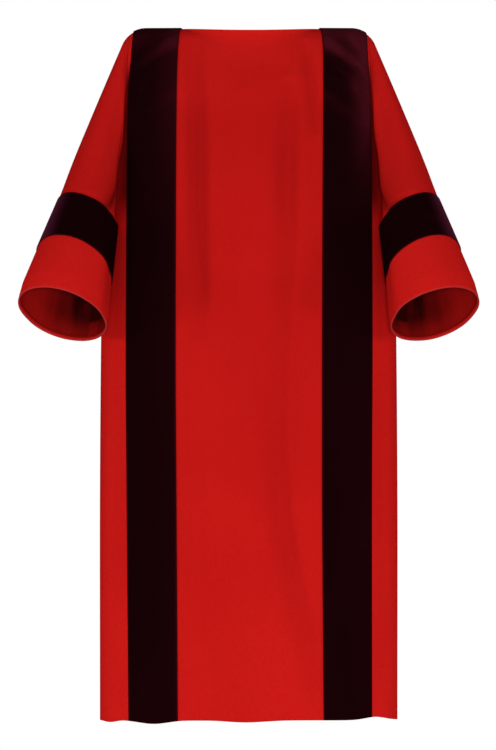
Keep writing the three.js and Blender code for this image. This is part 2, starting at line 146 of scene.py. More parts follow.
# Smaller folds and creases: x and level where one starts, x and level where it ends, how far
# its middle is bent sideways, how deep it is (less than 0 is a ridge) and its reach.
FOLDS = {
    "front": (
        (-14, -160, -22, -620, 6, 2.5, 16),
        (-60, -640, -88, -1200, 12, 3, 20),
        (88, -150, 148, -1190, -60, -3.2, 17),
        (-116, -60, -104, -480, 0, -2, 12),
        (48, -90, 62, -420, -12, -1.8, 14),
        (20, -260, 8, -900, 10, 1.6, 15),
        (-40, -20, -52, -330, 4, 1.5, 13),
        (30, -16, 22, -240, 3, 1.2, 12),
        (-100, -700, -60, -1190, -8, -1.6, 18),
        (52, -760, 36, -1200, -5, 1.6, 17),
        (-232, -300, -236, -1180, 4, 2.4, 9),
        (230, -330, 236, -1140, -5, 2.2, 9),
        (-168, -60, -172, -420, 4, 1.6, 16),
        (168, -40, 160, -380, -6, 1.8, 15),
        (-158, -560, -150, -1190, 7, 1.5, 19),
        (176, -520, 168, -1180, -6, 1.4, 18),
    ),
    "back": (
        (8, -300, 34, -1190, -16, 5, 22),
        (60, -40, 44, -420, 6, 1.8, 14),
        (-46, -60, -40, -520, -8, -2.2, 15),
        (30, -160, 24, -640, 7, -1.8, 16),
        (-20, -560, -46, -1190, 10, 2.2, 17),
        (96, -620, 104, -1190, -8, 2.4, 17),
        (-230, -320, -236, -1160, 5, 2.6, 9),
        (232, -300, 234, -1180, -4, 2.2, 9),
        (-170, -80, -160, -460, -5, 1.8, 15),
        (164, -60, 174, -400, 6, 1.6, 15),
        (150, -620, 164, -1180, 7, 1.5, 18),
        (-156, -540, -168, -1190, -6, 1.6, 18),
    ),
}

# Rings of a sleeve, for the wearer's left: the middle, the two radii, how steeply the ring
# falls towards the body and how far it opens to the front.
RING_PARTS = ("x", "y", "z", "half", "depth", "slant", "tilt")
SLEEVE_RINGS = (
    (276.8, -72, -338.6, 56.5, 56, 26, 27),  # top of the band
    (296.5, -118, -431, 69.5, 71, 26.5, 32),  # foot of the band
    (309.5, -147, -494, 78, 78.5, 20, 27),  # above the cuff
    (314, -158, -519, 78.5, 79.5, 17, 25),  # cuff
)

# Creases of each sleeve: turn round the sleeve in degrees and place along it in millimetres
# where one starts, the same where it ends, depth, and reach in degrees. The turn runs from the
# outside (0) over the front (90) to the side next to the body (180) and the back (270).
SLEEVE_CREASES = {
    "left": (
        (120, 20, 134, 300, 6.0, 13),
        (66, 60, 96, 330, 1.6, 15),
        (150, 120, 158, 470, 3.0, 14),
        (34, 30, 42, 250, -1.4, 14),
        (88, 420, 104, 560, 1.4, 13),
        (128, 400, 136, 560, -1.2, 12),
        (226, 70, 206, 350, 3.2, 15),
        (262, 20, 250, 260, 2.0, 15),
        (296, 60, 286, 420, -1.6, 18),
        (238, 400, 246, 560, 1.8, 15),
        (322, 300, 330, 560, 1.3, 15),
    ),
    "right": (
        (112, 30, 130, 300, 6.5, 12),
        (74, 20, 88, 260, 1.8, 16),
        (146, 90, 156, 450, 3.2, 15),
        (40, 80, 36, 330, -1.5, 15),
        (82, 430, 92, 560, 1.2, 14),
        (120, 410, 130, 560, 1.6, 13),
        (230, 50, 208, 330, 3.0, 15),
        (268, 60, 254, 300, 2.2, 16),
        (300, 30, 292, 380, -1.4, 18),
        (250, 420, 240, 560, 1.6, 16),
        (318, 280, 324, 560, 1.2, 14),
    ),
}
SIDES = {"left": 1, "right": -1}
FACES = ("front", "back")


def smooth(share):
    """Eases a share from 0 to 1."""
    share = np.clip(share, 0, 1)
    return share * share * (3 - 2 * share)


def in_run(place, run):
    """1 along a run, eased to 0 at its two ends."""
    start, growth, end, fading = run
    return smooth((place - start) / growth) * smooth((end - place) / fading)


def strides(points, axis=0):
    """Distances between neighbours along one direction of a grid."""
    return np.linalg.norm(np.diff(points, axis=axis), axis=-1)


def summed(lengths):
    """How far along a row each point lies, from the lengths between them."""
    return np.concatenate([[0], np.cumsum(lengths)])


def curve_at(t, span, start, start_slope, end, end_slope):
    """A place on a smooth curve between two points, from its slope at each of them."""
    return (
        start * (1 + 2 * t) * (1 - t) ** 2
        + start_slope * span * t * (1 - t) ** 2
        + end * t * t * (3 - 2 * t)
        + end_slope * span * t * t * (t - 1)
    )


def along(table, column, level):
    """A column of a table at a level, on a smooth curve that doesn't overshoot its rows."""
    places = [math.sqrt(-row) for row in table["level"]]
    values = table[column]
    at = math.sqrt(max(0, -level))
    last = len(places) - 2
    first = next((i for i in range(last + 1) if places[i + 1] > at), last)

    def slope(i):
        return (values[i + 1] - values[i]) / (places[i + 1] - places[i])

    def tangent(i):
        if i == 0:
            return slope(0)
        if i == last + 1:
            return slope(last)
        before, after = slope(i - 1), slope(i)
        return 0 if before * after <= 0 else 2 * before * after / (before + after)

    span = places[first + 1] - places[first]
    start, end = (values[first], tangent(first)), (values[first + 1], tangent(first + 1))
    return curve_at((at - places[first]) / span, span, *start, *end)


def half_width(level):
    """Half the body's width on a level."""
    return along(BODY_SECTIONS, "half_width", level)


def other_radius(share):
    """What is left of one radius of a squared ellipse at a share of the other."""
    return np.maximum(0, 1 - np.abs(share) ** SQUARENESS) ** (1 / SQUARENESS)


def neck_bow(x):
    """How far the neck has opened at x: 1 at its middle and 0 at its two ends."""
    return np.maximum(0, 1 - ((x - NECK_MIDDLE) / NECK_HALF) ** 2) ** 0.75


def on_path(path, level):
    """The x of a path at a level, on a smooth line through its places, and its share of depth."""
    xs, levels, shares = np.array(path, float).T
    slopes = np.gradient(xs, levels)
    i = int(np.clip(np.searchsorted(-levels, -level) - 1, 0, len(xs) - 2))
    span = levels[i + 1] - levels[i]
    t = (level - levels[i]) / span
    x = curve_at(t, span, xs[i], slopes[i], xs[i + 1], slopes[i + 1])
    return x, shares[i] + (shares[i + 1] - shares[i]) * smooth(t)


def long_folds(x, level, face):
    """How deep the long folds of a face are along a row."""
    deep = np.zeros_like(x)
    for path, depth, right, left in LONG_FOLDS[face]:
        top, foot = path[0][1], path[-1][1]
        t = (top - level) / (top - foot)
        if 0 < t < 1:
            middle, share = on_path(path, level)
            reach = np.where(x < middle, right, left)
            fade = math.sin(math.pi * t) ** 0.5 * share
            deep += depth * fade * np.exp(-(((x - middle) / reach) ** 2))
    return deep


def fold_depth(x, level, face):
    """How deep all the folds of a face are along a row."""
    deep = long_folds(x, level, face)
    for x_top, top, x_foot, foot, bend, depth, reach in FOLDS[face]:
        t = (top - level) / (top - foot)
        if not 0 < t < 1:
            continue
        middle = x_top + (x_foot - x_top) * t + bend * math.sin(math.pi * t**1.5)
        fade = math.sin(math.pi * t) ** 0.5
        deep += depth * fade * np.exp(-(((x - middle) / reach) ** 2))
    return deep


def body_row(x, level, face):
    """The outside of the body cloth along a row of x places on one level."""
    below_neck = max(0, 1 + level / NECK_BLEND)
    section = along(BODY_SECTIONS, face, level) * other_radius(x / half_width(level))
    bowed = (section**4 + (NECK_BOW[face] * neck_bow(x) * below_neck) ** 4) ** 0.25
    strip = NECK_STRIP * neck_bow(x) ** 0.2 * smooth((NECK_TURN + level) / 1.5)
    out = np.maximum(SEAM_GAP / 2, bowed - fold_depth(x, level, face) + strip)
    past = np.clip(np.abs(x) - SHOULDER_FLAT, 0, 0.9 * SHOULDER_CORNER)
    corner = SHOULDER_CORNER - np.sqrt(SHOULDER_CORNER**2 - past**2)
    drop = corner * (1 - min(1, -level / ARMHOLE_DEPTH)) ** 2
    drop += NECK_DIP[face] * neck_bow(x) ** 1.33 * below_neck
    waves = sum(d * np.exp(-(((x - middle) / reach) ** 2)) for middle, d, reach in HEM_WAVES)
    drop += waves * smooth((level - HEM_WAVE_LEVEL) / (-LENGTH - HEM_WAVE_LEVEL))
    return np.stack([x, -out if face == "front" else out, level - drop], axis=-1)


def seam_x(level):
    """Where the armhole seam, and below it the side seam, lies on a level."""
    foot = -ARMHOLE_DEPTH * ARMHOLE_FOOT
    if level >= foot:
        return ARMHOLE_TOP + ARMHOLE_SPREAD * (level / foot) ** 1.6
    if level <= -ARMHOLE_DEPTH:
        return half_width(level)
    inset = half_width(foot) - ARMHOLE_TOP - ARMHOLE_SPREAD
    turn = math.acos((level - foot) / (-ARMHOLE_DEPTH - foot))
    return half_width(level) - inset * math.sin(turn) ** SQUARENESS


def side_steps(start, seam, half, count):
    """Places from a clavus round to the seam, even round the section."""
    low, high = (math.asin(min(1, (x / half) ** (SQUARENESS / 2))) for x in (start, seam))
    return half * np.sin(np.linspace(low, high, count + 1)) ** (2 / SQUARENESS)


def row_places(level, counts):
    """Places along a row, from the wearer's right seam to the left one."""
    edges = [along(CLAVUS_EDGES, name, level) for name in list(CLAVUS_EDGES)[1:]]
    half, seam = half_width(level), seam_x(level)
    runs = [-side_steps(-edges[0], seam, half, counts["side"])[::-1]]
    for start, end, name in zip(edges, edges[1:], ("clavus", "middle", "clavus")):
        runs.append(np.linspace(start, end, counts[name] + 1)[1:])
    runs.append(side_steps(edges[3], seam, half, counts["side"])[1:])
    return np.concatenate(runs)


def unit(vectors):
    """Vectors of length 1 in the same directions."""
    return vectors / np.maximum(np.linalg.norm(vectors, axis=-1, keepdims=True), 1e-9)


def grid_normals(grid, centres, ring=False):
    """Normals of a grid of points, all turned away from its row centres."""
    if ring:
        across = np.roll(grid, -1, axis=1) - np.roll(grid, 1, axis=1)
    else:
        across = np.gradient(grid, axis=1)
    normals = unit(np.cross(across, np.gradient(grid, axis=0)))
    away = np.sum(normals * (grid - centres), axis=-1, keepdims=True)
    return np.where(away < 0, -normals, normals)


def body_levels(settings):
    """Levels of the rows of a panel, closest at its neck, underarm and hem."""
    rows = settings.armhole_rows
    levels = [-ARMHOLE_DEPTH * (1 - math.cos(math.pi * i / rows)) / 2 for i in range(rows + 1)]
    turn = -LENGTH + HEM_TURN + TURN_EASE
    levels += list(np.linspace(-ARMHOLE_DEPTH, turn, settings.body_rows + 1)[1:])
    return levels + list(np.linspace(turn, -LENGTH, settings.hem_rows + 1)[1:])


def wall_at(settings, turned):
    """How thick the red cloth is, in millimetres, where turned is 1 on a turned hem."""
    return (settings.cloth_wall + (settings.turned_wall - settings.cloth_wall) * turned) / MM


def panel_grids(settings, face):
    """The outside of a panel, its normals and its inside, as grids of points."""
    counts = {
        "side": settings.side_columns,
        "clavus": settings.clavus_columns,
        "middle": settings.middle_columns,
    }
    levels = body_levels(settings)
    outside = np.array([body_row(row_places(z, counts), z, face) for z in levels])
    centres = outside * (0.8, 0, 1)
    centres[..., 1] = 1 if face == "front" else -1
    normals = grid_normals(outside, centres)
    seams = normals[settings.armhole_rows :, (0, -1), :]
    seams[..., 1] = 0
    normals[settings.armhole_rows :, (0, -1), :] = unit(seams)
    shoulder = np.abs(outside[0, :, 0] - NECK_MIDDLE) > NECK_HALF - 1
    normals[0, shoulder, 1] = 0
    normals[0, shoulder] = unit(normals[0, shoulder])
    depth = np.array(levels)[:, None]
    hem = smooth((-LENGTH + HEM_TURN + TURN_EASE - depth) / TURN_EASE)
    neck = smooth((NECK_TURN + depth) / TURN_EASE) * (neck_bow(outside[0, :, 0])[None] > 0.05)
    wall = wall_at(settings, np.maximum(hem, neck))
    return outside, normals, outside - normals * wall[..., None]


def outer_edge(x, level):
    """How far from the middle the outer edge of the clavus on the side of x lies on a level."""
    right, left = (abs(along(CLAVUS_EDGES, name, level)) for name in ("right_outer", "left_outer"))
    return np.where(x < 0, right, left)


def panel_shade(outside, levels, face):
    """How much light the long folds, and the sleeves beside the seam, keep from a panel."""
    shade = []
    for x, level in zip(outside[..., 0], levels):
        away = np.abs(x) - outer_edge(x, level)
        beside = np.exp(-((np.maximum(away, 0) / PANEL_SHADE["reach"]) ** 2)) * (away > -1)
        beside *= in_run(-level, PANEL_SHADE["run"]) * PANEL_SHADE["share"]
        shade.append(long_folds(x, level, face) * FOLD_SHADE + beside)
    return np.array(shade)


def armhole(fronts, backs, side, rows):
    """The armhole seam as a ring, from the shoulder down the front and up the back."""
    column = -1 if side > 0 else 0
    points, normals = (
        np.concatenate([front[: rows + 1, column], back[1:rows, column][::-1]])
        for front, back in zip(fronts[:2], backs[:2])
    )
    points[[0, rows], 1] = 0
    return points, normals


def ring_frame(ring, side):
    """Middle, half width and depth of a sleeve ring as vectors."""
    part = dict(zip(RING_PARTS, ring))
    slant, tilt = math.radians(part["slant"]), math.radians(part["tilt"])
    middle = np.array([side * part["x"], part["y"], part["z"]])
    half = np.array([side * math.cos(slant), 0, math.sin(slant)])
    depth = np.array(
        [
            -side * math.sin(slant) * math.sin(tilt),
            -math.cos(tilt),
            math.cos(slant) * math.sin(tilt),
        ]
    )
    return middle, half * part["half"], depth * part["depth"]


def ring_points(ring, side, turns):
    """Points round a sleeve ring at the given turns."""
    middle, half, depth = ring_frame(ring, side)
    return middle + np.outer(np.cos(turns), half) + np.outer(np.sin(turns), depth)


def shoulder_line(t, side):
    """The outer line of the upper sleeve: the shoulder's corner, then down to the band."""
    middle, half, _ = ring_frame(SLEEVE_RINGS[0], side)
    end = middle + half
    turn_end = math.radians(SHOULDER_TURN)
    turn_start = math.asin((ARMHOLE_TOP - SHOULDER_FLAT) / SHOULDER_CORNER)

    def on_corner(turn):
        across = SHOULDER_FLAT + SHOULDER_CORNER * math.sin(turn)
        return np.array([across, -SHOULDER_CORNER * (1 - math.cos(turn))])

    corner, foot = on_corner(turn_end), np.array([abs(end[0]), end[2]])
    arc = np.linalg.norm(corner - on_corner(turn_start))
    straight = np.linalg.norm(foot - corner)
    travelled = t * (arc + straight)
    share = (travelled - arc) / straight
    if share > 0:
        place = corner + (foot - corner) * share
        place[0] += SLEEVE_HEAD_FULLNESS * math.sin(math.pi * share)
    else:
        place = on_corner(turn_start + (turn_end - turn_start) * travelled / arc)
    return np.array([side * place[0], end[1] * t**1.25, place[1]])


def clear_of_body(points, side, clearance):
    """Moves sleeve points sideways until they are clear of the body."""
    moved = points.copy()
    for k, (x, y, z) in enumerate(points):
        deep = along(BODY_SECTIONS, "front" if y < 0 else "back", z)
        if abs(y) >= deep:
            continue
        body = min(half_width(z) * other_radius(y / deep), seam_x(z)) + clearance
        apart = abs(x) - body
        moved[k, 0] = side * (body + (apart + math.hypot(apart, clearance / 2)) / 2)
    return moved


def sleeve_rings(seam, side, settings):
    """Rings of the sleeve's cloth from the armhole seam to the cuff."""
    count = len(seam)
    turns = 2 * math.pi * np.arange(count) / count
    top, underarm = seam[0], seam[count // 2]
    band_middle, band_half, band_depth = ring_frame(SLEEVE_RINGS[0], side)
    swing = np.array(UNDERARM_SWING) * (side, 1, 1)
    under_end = band_middle - band_half

    def frame_at(high, low, t):
        middle, half = (high + low) / 2, (high - low) / 2
        depth = np.array([0, -1, 0]) * (1 - smooth(t)) + unit(band_depth) * smooth(t)
        depth = unit(depth - half * (depth @ half) / (half @ half))
        return middle, half, depth, np.cross(unit(half), depth)

    middle, half, depth, normal = frame_at(top, underarm, 0)
    away = seam - middle
    local = away @ half / (half @ half), away @ depth, away @ normal
    rings = [seam]
    roll = np.exp(-(((np.degrees(turns) - SLEEVE_ROLL["turn"]) / SLEEVE_ROLL["spread"]) ** 2))
    rolled = np.outer(roll, (-side * SLEEVE_ROLL["inward"], -SLEEVE_ROLL["forward"], 0))
    for i in range(1, settings.sleeve_rows):
        t = (i / settings.sleeve_rows) ** RING_SPREAD
        low = (1 - t) ** 2 * underarm + 2 * t * (1 - t) * swing + t * t * under_end
        middle, half, depth, normal = frame_at(shoulder_line(t, side), low, t)
        eased = smooth(t)
        wide = local[0] * (1 - eased) + np.cos(turns) * eased
        deep = local[1] * (1 - eased) + SLEEVE_RINGS[0][4] * np.sin(turns) * eased
        ring = middle + np.outer(wide, half) + np.outer(deep, depth)
        ring += np.outer(local[2] * (1 - eased), normal)
        fade = math.sin(math.pi * t**1.1) ** (0.6 if t < 0.53 else 0.35)
        rings.append(ring + rolled * fade)
    band_foot = len(rings) + settings.band_rows
    tables = np.array(SLEEVE_RINGS)
    counts = (settings.band_rows, settings.flare_rows, settings.cuff_rows)
    for high, low, steps in zip(tables, tables[1:], counts):
        for i in range(steps):
            rings.append(ring_points(high + (low - high) * i / steps, side, turns))
    rings.append(ring_points(tables[-1], side, turns))
    for i in range(1, len(rings)):
        clearance = SLEEVE_CLEARANCE * min(1, i * 2 / settings.sleeve_rows)
        rings[i] = clear_of_body(rings[i], side, clearance)
    return np.array(rings), band_foot


def crease_sleeve(rings, normals, name):
    """Presses the creases into a sleeve's rings, with how far along each ring is and its shade."""
    travelled = summed(strides(rings.mean(axis=1)))
    turns = 360 * np.arange(rings.shape[1])[None] / rings.shape[1]
    deep = np.zeros(rings.shape[:2])
    for turn_top, top, turn_foot, foot, depth, reach in SLEEVE_CREASES[name]:
        t = np.clip((travelled - top) / (foot - top), 0, 1)[:, None]
        middle = turn_top + (turn_foot - turn_top) * t
        apart = (turns - middle + 180) % 360 - 180
        deep += depth * np.sin(math.pi * t) ** 0.6 * np.exp(-((apart / reach) ** 2))
    deep *= smooth(travelled / 40)[:, None]
    front = np.exp(-(((turns - SLEEVE_SHADE["turn"]) / SLEEVE_SHADE["spread"]) ** 4))
    beside = np.exp(-((travelled / SLEEVE_SHADE["reach"]) ** 2))[:, None] * front
    turned = np.exp(-(((turns - TURNED_SHADE["turn"]) / TURNED_SHADE["spread"]) ** 2))
    turned = turned * in_run(travelled, TURNED_SHADE["run"])[:, None]
    shade = np.maximum(deep, 0) * CREASE_SHADE + beside * SLEEVE_SHADE["share"]
    shade = np.minimum(0.9, shade + turned * TURNED_SHADE["share"])
    return rings - normals * deep[..., None], travelled, shade


def sleeve_grids(settings, fronts, backs, name):
    """The outside of a sleeve, its normals, its inside, its shade and its band's last row."""
    side = SIDES[name]
    seam, seam_normals = armhole(fronts, backs, side, settings.armhole_rows)
    rings, band_foot = sleeve_rings(seam, side, settings)
    centres = rings.mean(axis=1, keepdims=True)
    outside, travelled, shade = crease_sleeve(rings, grid_normals(rings, centres, True), name)
    normals = grid_normals(outside, centres, True)
    count = len(seam)
    tangent = np.roll(seam, -1, axis=0) - np.roll(seam, 1, axis=0)
    away = unit(np.cross(seam_normals, tangent))
    away = np.where((away[:, :1] * side) < -0.2, -away, away)
    away[count // 2] = (0, 0, 1)
    turned_back = np.sum(normals[0] * away, axis=-1) > 0
    turned_back[count // 2] = False
    normals[0] = np.where(turned_back[:, None], seam_normals, normals[0])
    onward = unit(outside[1] - seam)
    outside[0] = seam + unit(away + onward) * SEAM_GAP
    to_cuff = travelled[-1] - travelled
    wall = wall_at(settings, smooth((CUFF_TURN + TURN_EASE - to_cuff) / TURN_EASE))
    return outside, normals, outside - normals * wall[:, None, None], shade, band_foot


def velvet_layer(outside, normals, settings):
    """The two faces of velvet that is sewn on cloth: its pile and its back."""
    under = outside + normals * SEAM_GAP
    return under + normals * (settings.velvet_wall / MM), under


def rounded(outside, inside, ring=False):
    """Adds a row at each end, and a column at each side, that narrows the wall to a soft edge."""
    middle = (outside + inside) / 2
    grids = []
    for grid in (outside, inside):
        narrow = middle + (grid - middle) * EDGE_NARROW
        grid = np.concatenate([narrow[:1], grid, narrow[-1:]])
        grid[1] += (grid[2] - grid[1]) * EDGE_STEP
        grid[-2] += (grid[-3] - grid[-2]) * EDGE_STEP
        if not ring:
            edge = np.concatenate([narrow[:1], narrow, narrow[-1:]])
            grid = np.concatenate([edge[:, :1], grid, edge[:, -1:]], axis=1)
            grid[:, 1] += (grid[:, 2] - grid[:, 1]) * EDGE_STEP
            grid[:, -2] += (grid[:, -3] - grid[:, -2]) * EDGE_STEP
        grids.append(grid)
    return grids


def shell(name, outside, inside, material, ring=False, shade=None):
    """A closed wall between two grids, with the cloth's own directions in its UV map.

    Its points hold how far inside an open edge they lie, how far from a cuff, and their shade.
    """
    if shade is None:
        shade = np.zeros(outside.shape[:2])
    shade = np.pad(shade, ((1, 1), (0, 0) if ring else (1, 1)), mode="edge")
    outside, inside = rounded(outside, inside, ring)
    rows, columns = outside.shape[:2]
    spans = columns if ring else columns - 1
    i, j = np.meshgrid(np.arange(rows - 1), np.arange(spans), indexing="ij")
    i, j = i.ravel(), j.ravel()
    closed = np.concatenate([outside, outside[:, :1]], axis=1) if ring else outside
    across = summed(strides(closed, 1).mean(axis=0)) * MM
    down = summed(strides(outside).mean(axis=1)) * MM
    faces, places = [], []

    def add(corners):
        """Adds quads, each corner given as layer, row and column."""
        faces.append(
            np.stack([(a * rows + r) * columns + c % columns for a, r, c in corners], axis=-1)
        )
        places.append(np.stack([np.stack([across[c], -down[r]], -1) for _, r, c in corners], 1))

    add([(0, i, j), (0, i + 1, j), (0, i + 1, j + 1), (0, i, j + 1)])
    add([(1, i, j), (1, i, j + 1), (1, i + 1, j + 1), (1, i + 1, j)])
    j, zero = np.arange(spans), np.zeros(spans, int)
    add([(0, zero, j), (0, zero, j + 1), (1, zero, j + 1), (1, zero, j)])
    end = zero + rows - 1
    add([(0, end, j + 1), (0, end, j), (1, end, j), (1, end, j + 1)])
    if not ring:
        i, zero = np.arange(rows - 1), np.zeros(rows - 1, int)
        add([(0, i + 1, zero), (0, i, zero), (1, i, zero), (1, i + 1, zero)])
        end = zero + columns - 1
        add([(0, i, end), (0, i + 1, end), (1, i + 1, end), (1, i, end)])
    points = np.concatenate([outside.reshape(-1, 3), inside.reshape(-1, 3)]) * MM
    faces, places = np.concatenate(faces), np.concatenate(places)
    corners = points[faces[:, :3]]
    volume = np.sum(corners[:, 0] * np.cross(corners[:, 1], corners[:, 2]))
    if volume < 0:
        faces, places = faces[:, ::-1], places[:, ::-1]
    mesh = bpy.data.meshes.new(name)
    mesh.from_pydata(points.tolist(), [], faces.tolist())
    if mesh.validate():
        raise RuntimeError(f"{name} has faces that don't close")
    layer = mesh.uv_layers.new(name="cloth")
    layer.data.foreach_set("uv", places.reshape(-1).astype(np.float32))
    to_foot = down[-1] - down
    within = to_foot if ring else np.minimum(down, to_foot) * 0.25
    values = {
        "within": np.repeat(np.concatenate([within * 0, within]), columns),
        "to_cuff": np.repeat(np.tile(to_foot if ring else within * 0 + 1, 2), columns),
        "shade": np.concatenate([shade.ravel(), shade.ravel() * 0]),
    }
    for label, value in values.items():
        mesh.attributes.new(label, "FLOAT", "POINT").data.foreach_set("value", value)
    mesh.shade_smooth()
    return finished(name, mesh, material)


def finished(name, mesh, material):
    """Puts a mesh in the scene as a named piece that goes with the body."""
    mesh.materials.clear()
    mesh.materials.append(material)
    old = bpy.data.objects.get(name)
    if old:
        bpy.data.objects.remove(old)
    piece = bpy.data.objects.new(name, mesh)
    bpy.context.scene.collection.objects.link(piece)
    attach(piece, "root")
    return piece


class Value:
    """A shader value that takes part in sums as a number does."""

    def __init__(self, shader, socket):
        self.shader = shader
        self.socket = socket

    def _sum(self, operation, *others):
        return self.shader.node("Math", inputs=(self, *others), operation=operation)

    def _swapped(self, operation, other):
        return self.shader.node("Math", inputs=(other, self), operation=operation)

    def __add__(self, other):
        return self._sum("ADD", other)

    def __sub__(self, other):
        return self._sum("SUBTRACT", other)

    def __mul__(self, other):
        return self._sum("MULTIPLY", other)

    def __truediv__(self, other):
        return self._sum("DIVIDE", other)

    def __radd__(self, other):
        return self._swapped("ADD", other)

    def __rsub__(self, other):
        return self._swapped("SUBTRACT", other)

    def __rmul__(self, other):
        return self._swapped("MULTIPLY", other)

    def __rtruediv__(self, other):
        return self._swapped("DIVIDE", other)

    def sine(self):
        return self._sum("SINE")

    def least(self, other):
        return self._sum("MINIMUM", other)

    def most(self, other):
        return self._sum("MAXIMUM", other)

    def share(self, low, high):
        """0 where this is at low, 1 where it is at high, eased between them."""
        return self.shader.node(
            "MapRange",
            inputs={"Value": self, "From Min": low, "From Max": high},
            interpolation_type="SMOOTHSTEP",
        )


class Shader:
    """A node material with one principled shader."""

    def __init__(self, name, roughness):
        self.material = bpy.data.materials.new(name)
        self.material.use_nodes = True
        self.tree = self.material.node_tree
        self.principled = self.tree.nodes["Principled BSDF"]
        self.set("Roughness", roughness)
        self.set("Specular IOR Level", 0)

    def node(self, kind, output=0, inputs=(), **settings):
        """Adds a node, sets it, feeds its inputs by place or by name, and gives one output."""
        made = self.tree.nodes.new("ShaderNode" + kind)
        for name, value in settings.items():
            setattr(made, name, value)
        pairs = inputs.items() if isinstance(inputs, dict) else enumerate(inputs)
        for place, value in pairs:
            self.feed(made.inputs[place], value)
        return Value(self, made.outputs[output])

    def feed(self, socket, value):
        """Links a Value to a socket, or sets the socket to a plain one."""
        if isinstance(value, Value):
            self.tree.links.new(value.socket, socket)
        else:
            socket.default_value = value

    def set(self, name, value):
        """Feeds one socket of the principled shader."""
        self.feed(self.principled.inputs[name], value)

    def noise(self, scale, detail=2, stretch=(1, 1, 1), turn=0, mirrored=False):
        """Noise in metres, from 0 to 1, drawn out along directions turned round the Y axis."""
        place = self.node("TexCoord", output="Object")
        if mirrored:
            place = self.node("VectorMath", inputs=(place,), operation="ABSOLUTE")
        place = self.node(
            "Mapping",
            inputs={"Vector": place, "Scale": stretch, "Rotation": (0, math.radians(turn), 0)},
            vector_type="TEXTURE",
        )
        wanted = {"Vector": place, "Scale": scale, "Detail": detail}
        return self.node("TexNoise", inputs=wanted)

    def measured(self, label):
        """A measure, in metres, that the mesh holds for each of its points."""
        return self.node("Attribute", output="Fac", attribute_name=label)

    def cloth_place(self):
        """The two directions of the cloth, in metres."""
        uv = self.node("UVMap", uv_map="cloth")
        return (
            self.node("SeparateXYZ", output=0, inputs=(uv,)),
            self.node("SeparateXYZ", output=1, inputs=(uv,)),
        )

    def blend(self, share, low, high):
        """Mixes two colours, each a Value or three numbers."""
        low, high = (c if isinstance(c, Value) else (*c, 1) for c in (low, high))
        made = self.tree.nodes.new("ShaderNodeMix")
        made.data_type = "RGBA"
        self.feed(made.inputs[0], share)
        self.feed(made.inputs[6], low)
        self.feed(made.inputs[7], high)
        return Value(self, made.outputs[2])

    def bump(self, height, distance, strength=1):
        """Raises the surface by a height from 0 to 1 times a distance in metres."""
        wanted = {"Height": height, "Distance": distance, "Strength": strength}
        self.set("Normal", self.node("Bump", inputs=wanted))


def red_cloth():
    """Matt closely woven cloth, a little uneven in its dye, with painted light and painted shade in
    its colour.
    """
    shader = Shader("woven_red", 0.86)
    colours = bpy.context.scene.dalmatic_colours
    across, down = shader.cloth_place()
    wide = shader.noise(5, 3)
    fine = shader.noise(220, 3)
    # Painted light: the cloth is brighter towards the body's sides and on the sleeves, on top of
    # uneven dye at random.
    object_place = shader.node("TexCoord", output="Object")
    outwards = shader.node("SeparateXYZ", inputs=(object_place,))
    outwards = outwards.most(outwards * -1).share(0.19, 0.25)
    bright = wide.share(0.30, 0.72) * 0.7 + outwards * 0.7
    colour = shader.blend(bright, colours.red, colours.red_bright)
    colour = shader.blend(fine.share(0.35, 0.80) * 0.28, colour, colours.red_deep)
    # Painted shade: the cloth is darker the higher it hangs, but not at the neck or near a cuff.
    to_cuff = shader.measured("to_cuff")
    height = shader.node("SeparateXYZ", output=2, inputs=(object_place,))
    high = height.share(-1.35, 0.0) * 0.50 * to_cuff.share(0.08, 0.20)
    high = high * (1 - height.share(-0.20, -0.06) * (1 - outwards))
    colour = shader.blend(high, colour, colours.red_deep)
    colour = shader.blend(shader.measured("shade"), colour, colours.red_shade)
    # Painted shade on the inside: darker the further it lies from an open edge, lighter on its
    # outer side than next to the body, and darkest in one painted dark patch.
    within = shader.measured("within")
    rows = shader.node("CombineXYZ", inputs=(across * 34, down * 3, 0))
    rows = shader.node("TexNoise", inputs={"Vector": rows, "Scale": 1, "Detail": 2})
    shade = within.share(0.0, 0.012) * 0.72 + within.share(0.010, 0.055) * 0.27
    shade = shade * (0.90 + rows.share(0.40, 0.60) * 0.10)
    shade = shade * (0.73 + across.share(0.20, 0.24) * 0.27 - across.share(0.31, 0.42) * 0.66)
    painted_dark_patch = across.share(0.238, 0.262) * (1 - across.share(0.285, 0.315))
    shade = shade.most(painted_dark_patch * within.share(0.022, 0.045) * 0.99)
    # A fine painted shadow line where the turned hem ends inside a cuff, and a paler rim round the
    # cuff.
    turn = within.share(0.007, 0.008) * (1 - within.share(0.008, 0.012))
    turn = turn * (1 - to_cuff.share(0.5, 0.9))
    colour = shader.blend(shade.most(turn * 0.85), colour, colours.red_shade)
    rim = 1 - to_cuff.share(0.0002, 0.0030)
    colour = shader.blend(rim * 0.6, colour, colours.red_pale)
    shader.set("Base Color", colour)
    shader.set("Roughness", 0.82 + fine * 0.12)
    soft = shader.noise(34, 3, (1, 1, 2))
    # Plain weave: threads that pass over and under each other.
    threads = 2 * math.pi / bpy.context.scene.dalmatic_stitches.thread_pitch
    weave = (across * threads).sine() * (down * threads).sine()
    shader.bump(weave * 0.35 + fine * 0.5 + soft * 2.2, 0.00045, 0.55)
    return shader.material


def velvet(name, streak_turn, mirrored):
    """Short pile, with its fine grain and its brushed streaks."""
    shader = Shader(name, 0.90)
    pile = shader.noise(900, 2)
    streaks = shader.noise(24, 3, (4, 1, 1), streak_turn, mirrored)
    shader.set("Roughness", 0.84 + pile * 0.14)
    shader.bump(pile * 1.0 + streaks * 1.5, 0.0006, 0.5)
    return shader, pile, streaks


